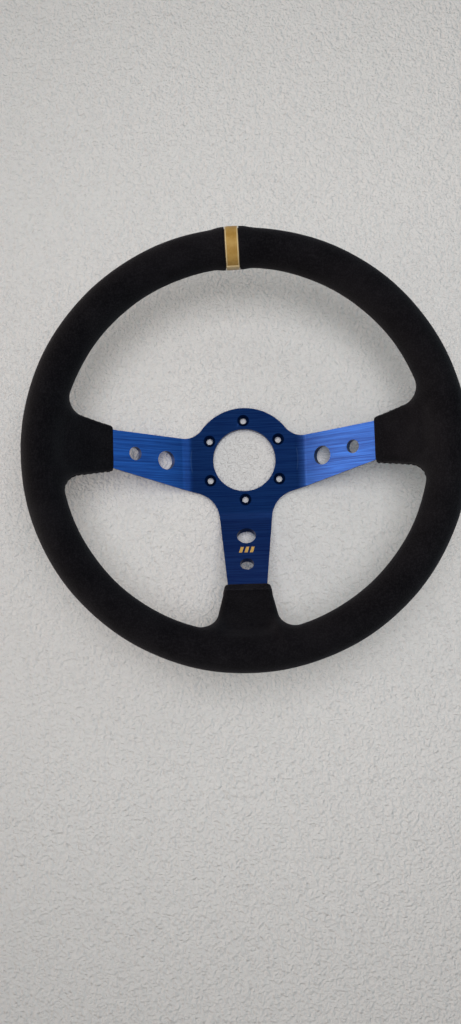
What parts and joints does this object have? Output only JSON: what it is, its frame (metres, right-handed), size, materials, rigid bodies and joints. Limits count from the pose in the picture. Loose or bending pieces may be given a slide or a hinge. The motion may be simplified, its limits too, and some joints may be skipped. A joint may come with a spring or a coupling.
{
  "type": "steering wheel",
  "caption": "Deep-dish three-spoke competition steering wheel: bent blue anodised spoke plate, round suede-covered rim and a gold centre mark band.",
  "frame": {"origin": "on the steering axis, in the rear face of the hub that bolts to the steering boss", "axes": "+Y along the steering axis, away from the driver; +Z towards twelve o'clock; +X to the driver's right"},
  "size_m": [0.35, 0.0953, 0.3499],
  "materials": {
    "blue_anodised": "brushed and blue anodised",
    "core_steel": "zinc plated",
    "rivet_aluminium": "plain",
    "padding_foam": "moulded foam",
    "black_suede": "suede nap",
    "gold_leather": "smooth",
    "black_thread": "waxed thread"
  },
  "bodies": {
    "root": {"spoke_plate": "blue_anodised", "rim_core": "core_steel", "left_rivet_a": "rivet_aluminium", "left_rivet_b": "rivet_aluminium", "right_rivet_a": "rivet_aluminium", "right_rivet_b": "rivet_aluminium", "lower_rivet_a": "rivet_aluminium", "lower_rivet_b": "rivet_aluminium", "rim_padding": "padding_foam", "suede_cover": "black_suede", "centre_mark_band": "gold_leather", "upper_right_lacing": "black_thread", "upper_left_lacing": "black_thread", "lower_left_lacing": "black_thread", "lower_right_lacing": "black_thread", "left_sleeve_hem_thread": "black_thread", "right_sleeve_hem_thread": "black_thread", "lower_sleeve_hem_thread": "black_thread"}
  },
  "joints": []
}
